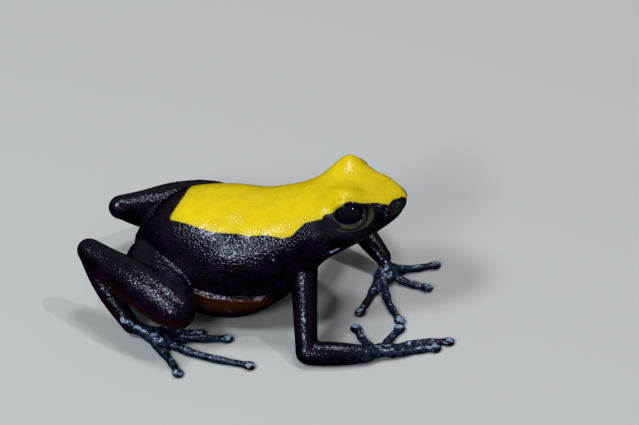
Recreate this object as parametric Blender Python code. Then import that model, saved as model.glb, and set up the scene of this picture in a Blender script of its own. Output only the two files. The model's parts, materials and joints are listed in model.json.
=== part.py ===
# A climbing mantella at life size: a small, bright frog that sits with its chest raised on its arms,
# its hind legs folded beside the body and its head turned a little to its left.
# +X is forward, +Y is the frog's left and +Z is up. Lengths below are in millimetres.
import math

import bmesh
import bpy
from mathutils import Matrix, Vector

MM = 0.001
GAP = 0.3                    # clearance between two pieces that touch
NUDGES = (0.0, 0.004, -0.006, 0.009)   # moves of a cutting object, where a cut fails
FEWEST_FACES, LEAST_LEFT = 8, 0.05     # of a sound result: faces, and share of the volume before the cut
WELD = 0.004                 # points of a cut closer than this become one

# Trunk and head, as sections square to X, from the vent to the snout.
# Each row: place along X, top, underside, half width, height of the widest place.
SECTIONS = [
    (-11.9, 5.6, 4.3, 0.7, 4.9),
    (-11.4, 6.8, 3.4, 1.8, 4.9),
    (-9.9, 8.8, 2.0, 3.4, 4.7),
    (-8.0, 10.2, 0.7, 4.7, 4.4),
    (-5.5, 10.8, 0.0, 5.7, 4.1),
    (-3.0, 11.0, -0.1, 6.2, 4.1),
    (-0.5, 11.1, 0.5, 6.0, 4.5),
    (2.5, 12.2, 2.5, 5.2, 6.2),
    (4.5, 13.1, 5.0, 4.6, 8.4),
    (6.0, 13.6, 7.2, 4.45, 9.8),
    (8.0, 13.9, 8.8, 4.25, 10.8),
    (9.8, 13.8, 10.0, 3.6, 11.5),
    (11.2, 13.4, 10.9, 2.8, 12.0),
    (12.2, 12.95, 11.6, 1.85, 12.25),
    (12.7, 12.6, 12.0, 0.9, 12.3),
]
TRUNK_STEP, HEAD_STEP = 0.95, 0.45
BODY_SIDES = 32
SQUARENESS = 2.3             # of the sections: 2 is an ellipse, more is squarer
NECK_X = 5.0                 # where the head meets the trunk
HEAD_TURN = math.radians(8)
TURN_START, TURN_END = 2.0, 8.0
FLOOR = 0.0
FAR = 40.0                   # half size of a cutting block, beyond the whole frog

EYE_RADIUS = 1.45
EYE_AT = Vector((7.8, 3.0, 12.65))
# Swellings of the head: middle on the left side, spread along X and Y, and how far they lift.
SWELLINGS = [
    ((7.6, 2.7), (1.75, 1.45), Vector((0.0, 0.45, 1.25))),    # upper eyelid
    ((6.6, 1.6), (1.9, 1.9), Vector((0.0, 0.0, 0.45))),       # slope from the eyelid to the nape
    ((10.6, 1.75), (1.4, 0.6), Vector((0.0, 0.12, 0.16))),    # ridge from the eye to the nostril
]
LID_RING, LID_THICK = 1.5, 0.3
LID_LOOK = Vector((0.2, 1.0, 0.3))
LID_OUT = 0.42               # from the eye's middle towards the ring's
LID_SIDES, LID_ROUND = 20, 8
EAR_AT = Vector((5.95, 4.4, 10.7))
EAR_SIZE = Vector((0.75, 0.22, 0.75))
NOSTRIL_AT = Vector((10.85, 2.42, 13.0))
NOSTRIL_RADIUS = 0.26
EAR_SIDES, NOSTRIL_SIDES = 12, 8

# The line of the mouth, in side view, from the snout to the corner of the jaw.
MOUTH = [(14.0, 12.3), (12.0, 12.0), (9.5, 11.0), (7.2, 9.9), (5.6, 9.2), (4.9, 9.0)]
JAW_FLOOR, JAW_SIDE = 4.0, 8.0   # how far the region of the lower jaw reaches down and out
EYE_SIDES = 20

# Limbs: the centres of the joints on each side.
SHOULDER = {"right": Vector((4.4, -3.6, 6.9)), "left": Vector((4.9, 3.6, 6.9))}
ELBOW = {"right": Vector((5.6, -8.0, 0.95)), "left": Vector((5.6, 9.3, 4.2))}
WRIST = {"right": Vector((10.8, -6.8, 0.8)), "left": Vector((9.7, 6.5, 1.5))}
HIP = {"right": Vector((-10.2, -2.4, 4.8)), "left": Vector((-10.2, 2.4, 4.8))}
THIGH_END = {"right": Vector((-6.1, -8.0, 4.3)), "left": Vector((-6.9, 9.3, 3.4))}
KNEE = {"right": Vector((-5.7, -9.0, 4.45)), "left": Vector((-6.6, 10.4, 2.9))}
HEEL = {"right": Vector((-15.2, -4.2, 6.4)), "left": Vector((-14.7, 4.5, 5.0))}
TARSUS_MIDDLE = {"right": Vector((-13.15, -6.0, 3.65)), "left": Vector((-13.0, 6.2, 2.9))}
INSTEP = {"right": Vector((-10.5, -7.5, 1.1)), "left": Vector((-10.6, 7.3, 1.1))}

# Radii along each limb piece, from its root to its far end.
UPPER_ARM_RADII = (1.3, 1.15, 1.05, 0.95)
FOREARM_RADII = (0.92, 1.1, 0.98, 0.68)
THIGH_RADII = (1.9, 2.2, 1.9, 1.3)
SHANK_RADII = (1.45, 2.0, 1.95, 1.4, 1.0)
TARSUS_RADII = (0.95, 1.0, 0.9, 0.75)
LINK_RADII = (0.65, 0.6, 0.5)    # from the wrist into the palm, and from the instep into the sole
LIMB_SIDES = 12
LIMB_RINGS = 5               # between the round ends
END_RINGS = (0.06, 0.4, 1.0) # of the radius, along each round end

# Hands and feet: the middle of the palm or sole, then each digit's points on the floor plan,
# from its root to the middle of its disc.
PALM = {"right": Vector((12.0, -5.8, 0.7)), "left": Vector((10.2, 5.2, 0.75))}
PALM_SIZE = {"right": Vector((1.5, 0.85, 0.5)), "left": Vector((1.0, 1.7, 0.55))}
PALM_TURN = {"right": math.radians(30), "left": math.radians(-20)}
FINGERS = {
    "right": [
        [(11.4, -5.8), (10.1, -4.5), (9.0, -2.8)],
        [(12.0, -5.3), (12.3, -3.6), (12.8, -2.0)],
        [(12.9, -5.3), (15.0, -3.7), (17.4, -2.9)],
        [(12.8, -6.0), (14.6, -4.9), (16.4, -4.1)],
    ],
    "left": [
        [(9.6, 4.0), (9.3, 1.8), (8.9, -0.3)],
        [(10.2, 3.9), (11.2, 1.4), (12.6, -0.8)],
        [(10.7, 5.4), (12.2, 4.8), (14.1, 4.5)],
        [(10.6, 6.3), (12.2, 6.9), (14.2, 8.0)],
    ],
}
SOLE = {"right": Vector((-8.2, -8.1, 0.75)), "left": Vector((-9.0, 8.4, 0.75))}
SOLE_SIZE = {"right": Vector((2.0, 0.95, 0.6)), "left": Vector((2.0, 0.95, 0.6))}
SOLE_TURN = {"right": math.radians(-25), "left": math.radians(30)}
TOES = {
    "right": [
        [(-8.6, -7.6), (-7.8, -6.6), (-6.7, -5.9)],
        [(-7.8, -7.7), (-6.4, -6.9), (-4.6, -6.4)],
        [(-7.2, -8.0), (-4.8, -7.3), (-2.0, -6.6)],
        [(-7.2, -8.6), (-3.6, -9.5), (0.8, -9.9)],
        [(-8.0, -9.0), (-6.4, -10.5), (-5.1, -12.2)],
    ],
    "left": [
        [(-9.0, 7.6), (-8.0, 7.0), (-7.0, 6.3)],
        [(-8.3, 7.9), (-6.8, 7.5), (-5.0, 6.9)],
        [(-7.8, 8.5), (-5.4, 8.6), (-2.6, 8.2)],
        [(-7.8, 9.0), (-4.4, 10.4), (-0.2, 11.0)],
        [(-8.6, 9.3), (-7.6, 11.4), (-6.0, 13.6)],
    ],
}
DIGIT_RADIUS = 0.31
DISC_SIZE = Vector((0.62, 0.52, 0.3))
DISC_SIDES = 10
PALM_SIDES = 14
DIGIT_TAPER = (1.3, 1.05, 0.9)   # of the digit's radius, at its root, middle and tip
ROOT_HEIGHT = 0.78               # of the palm's or sole's height, where a digit starts
SUNK = 0.95                      # of a disc's half thickness, so that it has a flat on the floor

YELLOW = (0.72, 0.55, 0.0)
BLACK = (0.010, 0.007, 0.014)
BLUE_GREY = (0.06, 0.10, 0.17)
EYE_BLACK = (0.004, 0.004, 0.008)


def smooth(values, places, at):
    # Value at one place of a smooth curve through the given values, without overshoot at the ends.
    last = len(places) - 1
    i = max(j for j in range(last) if j == 0 or places[j] <= at)
    span = places[i + 1] - places[i]
    t = (at - places[i]) / span

    def slope(j):
        if j == 0 or j == last:
            k = min(j, last - 1)
            return (values[k + 1] - values[k]) / (places[k + 1] - places[k])
        return (values[j + 1] - values[j - 1]) / (places[j + 1] - places[j - 1])

    a, b = values[i], values[i + 1]
    m, n = slope(i) * span, slope(i + 1) * span
    return ((2 * t - 3) * t * t + 1) * a + ((t - 2) * t + 1) * t * m \
        + (3 - 2 * t) * t * t * b + (t - 1) * t * t * n


def keep_largest(obj):
    # Keeps the largest closed surface of a mesh and drops the scraps that a cut leaves.
    mesh = bmesh.new()
    mesh.from_mesh(obj.data)
    bmesh.ops.remove_doubles(mesh, verts=mesh.verts, dist=WELD)
    left, pieces = set(mesh.faces), []
    for start in mesh.faces:
        if start not in left:
            continue
        left.remove(start)
        piece, edge_of_piece = [start], [start]
        while edge_of_piece:
            for edge in edge_of_piece.pop().edges:
                for face in edge.link_faces:
                    if face in left:
                        left.remove(face)
                        piece.append(face)
                        edge_of_piece.append(face)
        pieces.append(piece)
    pieces.sort(key=lambda faces: -sum(face.calc_area() for face in faces))
    scraps = [face for piece in pieces[1:] for face in piece]
    bmesh.ops.delete(mesh, geom=scraps, context="FACES")
    mesh.to_mesh(obj.data)
    mesh.free()


def apply_modifiers(obj):
    # Turns an object's modifiers into its mesh.
    graph = bpy.context.evaluated_depsgraph_get()
    done = bpy.data.meshes.new_from_object(obj.evaluated_get(graph))
    obj.modifiers.clear()
    old = obj.data
    obj.data = done
    bpy.data.meshes.remove(old)


def volume(data):
    # The volume of a mesh, or nothing where it is open or only a scrap.
    mesh = bmesh.new()
    mesh.from_mesh(data)
    sound = len(mesh.faces) > FEWEST_FACES and all(part.is_manifold for part in (*mesh.edges, *mesh.verts))
    amount = abs(mesh.calc_volume()) if sound else 0.0
    mesh.free()
    return amount


def boolean(obj, other, operation):
    # Tries the exact solver and the manifold one, then both with the other object moved by a hair.
    before, at = obj.data.copy(), other.location.copy()
    least = volume(before) * LEAST_LEFT
    for nudge in NUDGES:
        other.location = at + Vector((nudge, nudge, -nudge))
        for solver in ("EXACT", "MANIFOLD"):
            obj.data = before.copy()
            step = obj.modifiers.new(operation.lower(), "BOOLEAN")
            step.operation = operation
            step.solver = solver
            step.object = other
            apply_modifiers(obj)
            keep_largest(obj)
            if volume(obj.data) > least:
                other.location = at
                return
    other.location = at


def grown(obj, amount):
    # A copy whose surface stands out by the given amount, to cut clearances with.
    copy = bpy.data.objects.new(obj.name + "_room", obj.data.copy())
    cutters.objects.link(copy)
    swell = copy.modifiers.new("swell", "DISPLACE")
    swell.strength = amount
    swell.mid_level = 0.0
    apply_modifiers(copy)
    copy.hide_render = True
    copy.display_type = "WIRE"
    return copy


def clear_of(obj, others):
    # Cuts an object back from its neighbours, which leaves the clearance between them.
    for other in others:
        room = grown(other, GAP)
        boolean(obj, room, "DIFFERENCE")
        bpy.data.objects.remove(room)


def finish(name, mesh, collection):
    # Makes an object of a bmesh and gives it outward faces.
    bmesh.ops.recalc_face_normals(mesh, faces=mesh.faces)
    data = bpy.data.meshes.new(name)
    mesh.to_mesh(data)
    mesh.free()
    obj = bpy.data.objects.new(name, data)
    collection.objects.link(obj)
    return obj


def loft(name, rings, collection):
    # Joins closed rings of equal count, each a list of points, and caps both ends.
    mesh = bmesh.new()
    rows = [[mesh.verts.new(point) for point in ring] for ring in rings]
    for low, high in zip(rows, rows[1:]):
        count = len(low)
        for k in range(count):
            mesh.faces.new((low[k], low[(k + 1) % count], high[(k + 1) % count], high[k]))
    mesh.faces.new(rows[0])
    mesh.faces.new(rows[-1])
    return finish(name, mesh, collection)


def turn_head(point):
    # Bends the head to the frog's left about the root of the neck.
    share = min(max((point.x - TURN_START) / (TURN_END - TURN_START), 0.0), 1.0)
    angle = HEAD_TURN * share * share * (3 - 2 * share)
    pivot = Vector((NECK_X, 0, 0))
    return pivot + Matrix.Rotation(angle, 3, "Z") @ (point - pivot)


def swollen(point, wide):
    # Lifts a point of the head's upper side by the swellings near it.
    share = min(max((point.z - wide) / 1.5, 0.0), 1.0)
    lifted = point.copy()
    for (x, y), (spread_x, spread_y), lift in SWELLINGS:
        for side in (1, -1):
            away = ((point.x - x) / spread_x) ** 2 + ((point.y * side - y) / spread_y) ** 2
            lifted += share * math.exp(-away) * Vector((lift.x, lift.y * side, lift.z))
    return lifted


def body():
    # The whole trunk and head, pear-shaped in section and widest low down.
    places = [row[0] for row in SECTIONS]
    stops = [places[0], places[0] + 0.2, places[1]]
    while stops[-1] < places[-3]:
        stops.append(stops[-1] + (TRUNK_STEP if stops[-1] < NECK_X - TRUNK_STEP else HEAD_STEP))
    stops += [places[-2], places[-1] - 0.2, places[-1]]
    rings = []
    for x in stops:
        top, low, half, wide = (smooth([row[k] for row in SECTIONS], places, x) for k in (1, 2, 3, 4))
        ring = []
        for j in range(BODY_SIDES):
            angle = 2 * math.pi * j / BODY_SIDES
            across, up = math.cos(angle), math.sin(angle)
            rise = top - wide if up > 0 else wide - low
            ring.append(turn_head(swollen(Vector((
                x,
                half * math.copysign(abs(across) ** (2 / SQUARENESS), across),
                wide + rise * math.copysign(abs(up) ** (2 / SQUARENESS), up),
            )), wide)))
        rings.append(ring)
    return loft("body", rings, cutters)


def limb(name, points, radii, flat=1.0, sides=LIMB_SIDES):
    # A tapered limb piece along a smooth line through the points, with round ends.
    count = len(radii)
    marks = [i / (count - 1) for i in range(count)]
    steps = [i / (len(points) - 1) for i in range(len(points))]

    def centre(t):
        return Vector([smooth([point[k] for point in points], steps, t) for k in range(3)])

    first, last = points[0].copy(), points[-1].copy()
    points = list(points)
    points[0] = first + (first - points[1]).normalized() * radii[0]
    points[-1] = last + (last - points[-2]).normalized() * radii[-1]
    length = sum((b - a).length for a, b in zip(points, points[1:]))
    low, high = radii[0] / length, 1 - radii[-1] / length
    shares = [low * part for part in END_RINGS]
    shares += [low + (high - low) * (k + 1) / (LIMB_RINGS + 1) for k in range(LIMB_RINGS)]
    shares += [1 - (1 - high) * part for part in reversed(END_RINGS)]
    rings = []
    for t in shares:
        radius = smooth(radii, marks, t)
        into_end = max((low - t) / low, (t - high) / (1 - high), 0.0)
        radius *= math.sqrt(1 - into_end ** 2)
        along = (centre(min(t + 0.01, 1)) - centre(max(t - 0.01, 0))).normalized()
        side = along.cross(Vector((0, 0, 1)))
        if side.length < 0.3:
            side = along.cross(Vector((1, 0, 0)))
        side.normalize()
        up = side.cross(along)
        middle = centre(t)
        rings.append([
            middle + radius * (math.cos(a) * side + flat * math.sin(a) * up)
            for a in (2 * math.pi * j / sides for j in range(sides))
        ])
    return loft(name, rings, parts)


def ball(name, at, size, turn=0.0, sides=DISC_SIDES, collection=None):
    # A sphere stretched to three radii and turned about the vertical.
    mesh = bmesh.new()
    place = Matrix.Translation(at) @ Matrix.Rotation(turn, 4, "Z") @ Matrix.Diagonal((*size, 1))
    bmesh.ops.create_uvsphere(mesh, u_segments=sides, v_segments=sides // 2, radius=1, matrix=place)
    return finish(name, mesh, collection or parts)


def mirrored(point, side):
    # Moves a point given for the frog's left to the side asked for.
    return Vector((point[0], point[1] if side == "left" else -point[1], point[2]))


def digit(name, plan, start_height):
    # A finger or toe: a thin curve that comes down to the floor, with a flat disc on its tip.
    curve = bpy.data.curves.new(name, "CURVE")
    curve.dimensions = "3D"
    curve.bevel_depth = 1.0
    curve.bevel_resolution = 2
    curve.resolution_u = 3
    curve.use_fill_caps = True
    line = curve.splines.new("BEZIER")
    line.bezier_points.add(len(plan) - 1)
    heights = (start_height, DIGIT_RADIUS * DIGIT_TAPER[1], DISC_SIZE.z * SUNK)
    for point, (x, y), z, taper in zip(line.bezier_points, plan, heights, DIGIT_TAPER):
        point.co = (x, y, z)
        point.radius = DIGIT_RADIUS * taper
        point.handle_left_type = point.handle_right_type = "AUTO"
    tube = bpy.data.objects.new(name, curve)
    parts.objects.link(tube)
    mesh = bmesh.new()
    graph = bpy.context.evaluated_depsgraph_get()
    data = bpy.data.meshes.new_from_object(tube.evaluated_get(graph))
    mesh.from_mesh(data)
    bmesh.ops.remove_doubles(mesh, verts=mesh.verts, dist=0.0001)
    bpy.data.objects.remove(tube)
    bpy.data.meshes.remove(data)
    obj = finish(name, mesh, parts)
    (x0, y0), (x1, y1) = plan[-2:]
    disc = ball("disc", Vector((x1, y1, DISC_SIZE.z * SUNK)), DISC_SIZE, math.atan2(y1 - y0, x1 - x0))
    boolean(obj, disc, "UNION")
    bpy.data.objects.remove(disc)
    return obj


def box(name, low, high):
    # A block between two corners.
    mesh = bmesh.new()
    size = Vector(high) - Vector(low)
    place = Matrix.Translation((Vector(low) + Vector(high)) / 2) @ Matrix.Diagonal((*size, 1))
    bmesh.ops.create_cube(mesh, size=1, matrix=place)
    return finish(name, mesh, cutters)


def jaw_region(name, spread):
    # A prism under the line of the mouth: what lies in it is the lower jaw.
    mesh = bmesh.new()
    outline = [(x, z + spread) for x, z in MOUTH]
    outline += [(MOUTH[-1][0], JAW_FLOOR), (MOUTH[0][0], JAW_FLOOR)]
    near = [mesh.verts.new((x, -JAW_SIDE, z)) for x, z in outline]
    face = mesh.faces.new(near)
    far = bmesh.ops.extrude_face_region(mesh, geom=[face])
    far_verts = [item for item in far["geom"] if isinstance(item, bmesh.types.BMVert)]
    bmesh.ops.translate(mesh, vec=(0, 2 * JAW_SIDE, 0), verts=far_verts)
    for vert in mesh.verts:
        vert.co = turn_head(vert.co)
    return finish(name, mesh, cutters)


def cut_by(obj, cutter, operation="DIFFERENCE"):
    # Cuts or joins an object with another, which is used up.
    boolean(obj, cutter, operation)
    bpy.data.objects.remove(cutter)


def copy_of(obj, name, collection):
    copy = bpy.data.objects.new(name, obj.data.copy())
    collection.objects.link(copy)
    return copy


def head_and_trunk():
    # Parts the whole body at the neck, then gives the head its ears, lids, eyes, nostrils and jaw.
    whole = body()
    eyes = []
    for side in ("left", "right"):
        ear = ball("ear", turn_head(mirrored(EAR_AT, side)), EAR_SIZE, HEAD_TURN, EAR_SIDES, cutters)
        cut_by(whole, ear, "UNION")
    trunk = copy_of(whole, "torso", parts)
    cut_by(trunk, box("front", (NECK_X - GAP / 2, -FAR, -FAR), (FAR, FAR, FAR)))
    head = copy_of(whole, "head", parts)
    cut_by(head, box("rear", (-FAR, -FAR, -FAR), (NECK_X + GAP / 2, FAR, FAR)))
    for side in ("left", "right"):
        centre = turn_head(mirrored(EYE_AT, side))
        look = Matrix.Rotation(HEAD_TURN, 3, "Z") @ mirrored(LID_LOOK, side)
        bpy.ops.mesh.primitive_torus_add(
            major_segments=LID_SIDES, minor_segments=LID_ROUND,
            major_radius=LID_RING, minor_radius=LID_THICK)
        lid = bpy.context.object
        lid.data.transform(look.to_track_quat("Z", "Y").to_matrix().to_4x4())
        lid.data.transform(Matrix.Translation(centre + look.normalized() * LID_OUT))
        cut_by(head, lid, "UNION")
        cut_by(head, ball("socket", centre, [EYE_RADIUS + GAP] * 3, HEAD_TURN, EYE_SIDES, cutters))
        nostril_at = turn_head(mirrored(NOSTRIL_AT, side))
        cut_by(head, ball("nostril", nostril_at, [NOSTRIL_RADIUS] * 3, 0, NOSTRIL_SIDES, cutters))
        eyes.append(ball("eye_" + side, centre, [EYE_RADIUS] * 3, HEAD_TURN, EYE_SIDES))
    jaw = copy_of(head, "lower_jaw", parts)
    cut_by(jaw, jaw_region("under", 0.0), "INTERSECT")
    cut_by(head, jaw_region("over", GAP))
    return trunk, head, jaw, eyes


def arm(side, inner):
    # One arm with its hand, each piece cut back from the one that it grows from.
    upper = limb("upper_arm_" + side, [SHOULDER[side], ELBOW[side]], UPPER_ARM_RADII)
    clear_of(upper, inner)
    fore = limb("forearm_" + side, [ELBOW[side], WRIST[side]], FOREARM_RADII)
    clear_of(fore, [upper])
    hand = ball("hand_" + side, PALM[side], PALM_SIZE[side], PALM_TURN[side], PALM_SIDES)
    wrist = limb("wrist", [WRIST[side], PALM[side]], LINK_RADII)
    cut_by(hand, wrist, "UNION")
    clear_of(hand, [fore])
    fingers = []
    for number, plan in enumerate(FINGERS[side], 1):
        finger = digit(f"finger_{number}_{side}", plan, PALM[side].z * ROOT_HEIGHT)
        clear_of(finger, [hand] + fingers[-1:])
        fingers.append(finger)
    return [upper, fore, hand] + fingers


def leg(side, inner):
    # One hind leg: the shank is whole, and the thigh and foot are cut back where they press on it.
    shank = limb("shank_" + side, [KNEE[side], HEEL[side]], SHANK_RADII)
    clear_of(shank, inner)
    thigh = limb("thigh_" + side, [HIP[side], THIGH_END[side]], THIGH_RADII)
    clear_of(thigh, inner + [shank])
    tarsus = limb("tarsus_" + side, [HEEL[side], TARSUS_MIDDLE[side], INSTEP[side]], TARSUS_RADII)
    clear_of(tarsus, inner + [shank, thigh])
    foot = ball("foot_" + side, SOLE[side], SOLE_SIZE[side], SOLE_TURN[side], PALM_SIDES)
    instep = limb("instep", [INSTEP[side], SOLE[side]], LINK_RADII)
    cut_by(foot, instep, "UNION")
    clear_of(foot, inner + [tarsus, shank, thigh])
    toes = []
    for number, plan in enumerate(TOES[side], 1):
        toe = digit(f"toe_{number}_{side}", plan, SOLE[side].z * ROOT_HEIGHT)
        clear_of(toe, inner + [foot, shank, thigh] + toes[-1:])
        toes.append(toe)
    return [thigh, shank, tarsus, foot] + toes


def flatten_on_floor(pieces):
    # Everything that reaches the floor ends in a small flat there.
    for piece in pieces:
        if min((vert.co.z for vert in piece.data.vertices)) < FLOOR:
            cut_by(piece, box("floor", (-FAR, -FAR, -FAR), (FAR, FAR, FLOOR)))


def material(name, colour, roughness):
    skin = bpy.data.materials.new(name)
    skin.use_nodes = True
    shader = skin.node_tree.nodes["Principled BSDF"]
    shader.inputs["Base Color"].default_value = (*colour, 1)
    shader.inputs["Roughness"].default_value = roughness
    shader.inputs["Metallic"].default_value = 0.0
    skin.diffuse_color = (*colour, 1)
    return skin


def colour_of(name):
    # Colour and roughness of a piece.
    if name.startswith("eye"):
        return EYE_BLACK, 0.05
    if name in ("head", "torso"):
        return YELLOW, 0.35
    if name.startswith(("finger", "toe")):
        return BLUE_GREY, 0.3
    return BLACK, 0.3


def centre_on_floor(pieces):
    # The origin is on the floor under the middle of the whole frog.
    points = [vert.co for piece in pieces for vert in piece.data.vertices]
    middle = [(min(p[k] for p in points) + max(p[k] for p in points)) / 2 for k in (0, 1)]
    shift = Matrix.Translation((-middle[0], -middle[1], -min(p.z for p in points)))
    for piece in pieces:
        piece.data.transform(Matrix.Scale(MM, 4) @ shift)


for thing in list(bpy.data.objects):
    bpy.data.objects.remove(thing)
parts = bpy.data.collections.new("climbing_mantella")
cutters = bpy.data.collections.new("cutters")
bpy.context.scene.collection.children.link(parts)
bpy.context.scene.collection.children.link(cutters)

torso, head, jaw, eyes = head_and_trunk()
pieces = [torso, head, jaw] + eyes
for side in ("left", "right"):
    pieces += leg(side, [torso])
    pieces += arm(side, [torso, head, jaw])
for thing in list(cutters.objects):
    bpy.data.objects.remove(thing)
flatten_on_floor(pieces)
for piece in pieces:
    colour, roughness = colour_of(piece.name)
    piece.data.materials.clear()
    piece.data.materials.append(material(piece.name, colour, roughness))
    piece.data.shade_smooth()
    piece.data.set_sharp_from_angle(angle=math.radians(50))
centre_on_floor(pieces)
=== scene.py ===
# A climbing mantella at life size, in one wet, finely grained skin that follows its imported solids,
# with its eyes, a pale floor and soft lights.
import json
import math

import bmesh
import bpy
import numpy as np
from mathutils import Matrix, Vector

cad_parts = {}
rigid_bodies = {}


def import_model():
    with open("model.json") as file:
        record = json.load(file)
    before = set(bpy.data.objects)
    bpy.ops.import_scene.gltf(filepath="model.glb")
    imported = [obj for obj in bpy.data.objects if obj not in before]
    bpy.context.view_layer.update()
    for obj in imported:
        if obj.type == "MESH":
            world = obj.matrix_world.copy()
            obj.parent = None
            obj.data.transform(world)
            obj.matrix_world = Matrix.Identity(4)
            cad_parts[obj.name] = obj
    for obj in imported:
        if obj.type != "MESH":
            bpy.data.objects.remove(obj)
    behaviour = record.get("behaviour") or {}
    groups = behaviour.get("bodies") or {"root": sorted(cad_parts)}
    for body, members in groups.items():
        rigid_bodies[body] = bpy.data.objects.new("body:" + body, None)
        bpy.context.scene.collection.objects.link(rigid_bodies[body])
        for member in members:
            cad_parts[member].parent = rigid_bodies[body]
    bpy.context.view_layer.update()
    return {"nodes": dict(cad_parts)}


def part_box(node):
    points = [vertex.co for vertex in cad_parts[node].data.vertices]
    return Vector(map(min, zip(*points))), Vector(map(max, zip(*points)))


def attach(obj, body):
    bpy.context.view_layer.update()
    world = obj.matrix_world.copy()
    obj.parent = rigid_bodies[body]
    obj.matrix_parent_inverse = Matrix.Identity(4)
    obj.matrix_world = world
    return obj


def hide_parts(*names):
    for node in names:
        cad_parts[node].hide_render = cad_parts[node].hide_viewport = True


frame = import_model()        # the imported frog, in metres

# Shapes are worked out in millimetres, level and facing +X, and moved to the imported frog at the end.
mm = 0.001

head = {
    # the turn to the left grows between two places along X, about the root of the neck
    "turn": math.radians(8), "turnFrom": 2.0, "turnTo": 8.0, "neck": 5.0,
    "fullLift": 1.5,     # height over the widest line where a swelling lifts the head in full
    # middle on the left side, spread along X and Y, lift
    "swellings": [
        ((7.6, 2.7), (1.75, 1.45), (0.0, 0.45, 1.25)),
        ((6.6, 1.6), (1.9, 1.9), (0.0, 0.0, 0.45)),
        ((10.6, 1.75), (1.4, 0.6), (0.0, 0.12, 0.16)),
    ],
    # makes the side behind an eye steeper: place on the left side, height and radius
    "temple": [((6.0, 3.6, 12.7), 0.16, 0.7), ((6.0, 4.3, 11.4), -0.16, 0.8)],
    # between eye and lip: depth, middle and width along X and in height, and least distance from the midline
    "hollow": (0.14, (10.3, 0.9), (12.2, 0.55), 1.5),
}

trunk = {
    # place along X, top, underside, half width, height of the widest place
    "sections": [
        (-11.9, 5.6, 4.3, 0.7, 4.9), (-11.4, 6.8, 3.4, 1.8, 4.9), (-9.9, 8.8, 2.0, 3.4, 4.7),
        (-8.0, 10.2, 0.7, 4.7, 4.4), (-5.5, 10.8, 0.0, 5.7, 4.1), (-3.0, 11.0, -0.1, 6.2, 4.1),
        (-0.5, 11.1, 0.5, 6.0, 4.5), (2.5, 12.2, 2.5, 5.2, 6.2), (4.5, 13.1, 5.0, 4.6, 8.4),
        (6.0, 13.6, 7.2, 4.45, 9.8), (8.0, 13.9, 8.8, 4.25, 10.8), (9.8, 13.8, 10.0, 3.6, 11.5),
        (11.2, 13.4, 10.9, 2.8, 12.0), (12.2, 12.95, 11.6, 1.85, 12.25), (12.7, 12.6, 12.0, 0.9, 12.3),
    ],
    "squareness": 2.3, "sides": 64, "step": 0.4, "endStep": 0.2,
}

limbs = {
    # joints from root to tip, then radii from root to tip
    "upperArmRight": ([(4.4, -3.6, 6.9), (5.6, -8.0, 0.95)], (1.3, 1.15, 1.05, 0.95)),
    "foreArmRight": ([(5.6, -8.0, 0.95), (10.8, -6.8, 0.8)], (0.92, 1.1, 0.98, 0.68)),
    "wristRight": ([(10.8, -6.8, 0.8), (12.0, -5.8, 0.7)], (0.65, 0.6, 0.5)),
    "upperArmLeft": ([(4.9, 3.6, 6.9), (5.6, 9.3, 4.2)], (1.3, 1.15, 1.05, 0.95)),
    "foreArmLeft": ([(5.6, 9.3, 4.2), (9.7, 6.5, 1.5)], (0.92, 1.1, 0.98, 0.68)),
    "wristLeft": ([(9.7, 6.5, 1.5), (10.2, 5.2, 0.75)], (0.65, 0.6, 0.5)),
    "thighRight": ([(-10.2, -2.4, 4.8), (-6.1, -8.0, 4.3)], (1.9, 2.2, 1.9, 1.3)),
    "shankRight": ([(-5.7, -9.0, 4.45), (-15.2, -4.2, 6.4)], (1.45, 2.0, 1.95, 1.4, 1.0)),
    "tarsusRight": ([(-15.2, -4.2, 6.4), (-13.15, -6.0, 3.65), (-10.5, -7.5, 1.1)], (0.95, 1.0, 0.9, 0.75)),
    "instepRight": ([(-10.5, -7.5, 1.1), (-8.2, -8.1, 0.75)], (0.65, 0.6, 0.5)),
    "thighLeft": ([(-10.2, 2.4, 4.8), (-6.9, 9.3, 3.4)], (1.9, 2.2, 1.9, 1.3)),
    "shankLeft": ([(-6.6, 10.4, 2.9), (-14.7, 4.5, 5.0)], (1.45, 2.0, 1.95, 1.4, 1.0)),
    "tarsusLeft": ([(-14.7, 4.5, 5.0), (-13.0, 6.2, 2.9), (-10.6, 7.3, 1.1)], (0.95, 1.0, 0.9, 0.75)),
    "instepLeft": ([(-10.6, 7.3, 1.1), (-9.0, 8.4, 0.75)], (0.65, 0.6, 0.5)),
}

pads = {
    # middle, radii and turn of each palm and sole
    "palmRight": ((12.0, -5.8, 0.7), (1.5, 0.85, 0.5), math.radians(30)),
    "palmLeft": ((10.2, 5.2, 0.75), (1.0, 1.7, 0.55), math.radians(-20)),
    "soleRight": ((-8.2, -8.1, 0.75), (2.0, 0.95, 0.6), math.radians(-25)),
    "soleLeft": ((-9.0, 8.4, 0.75), (2.0, 0.95, 0.6), math.radians(30)),
}

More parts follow.
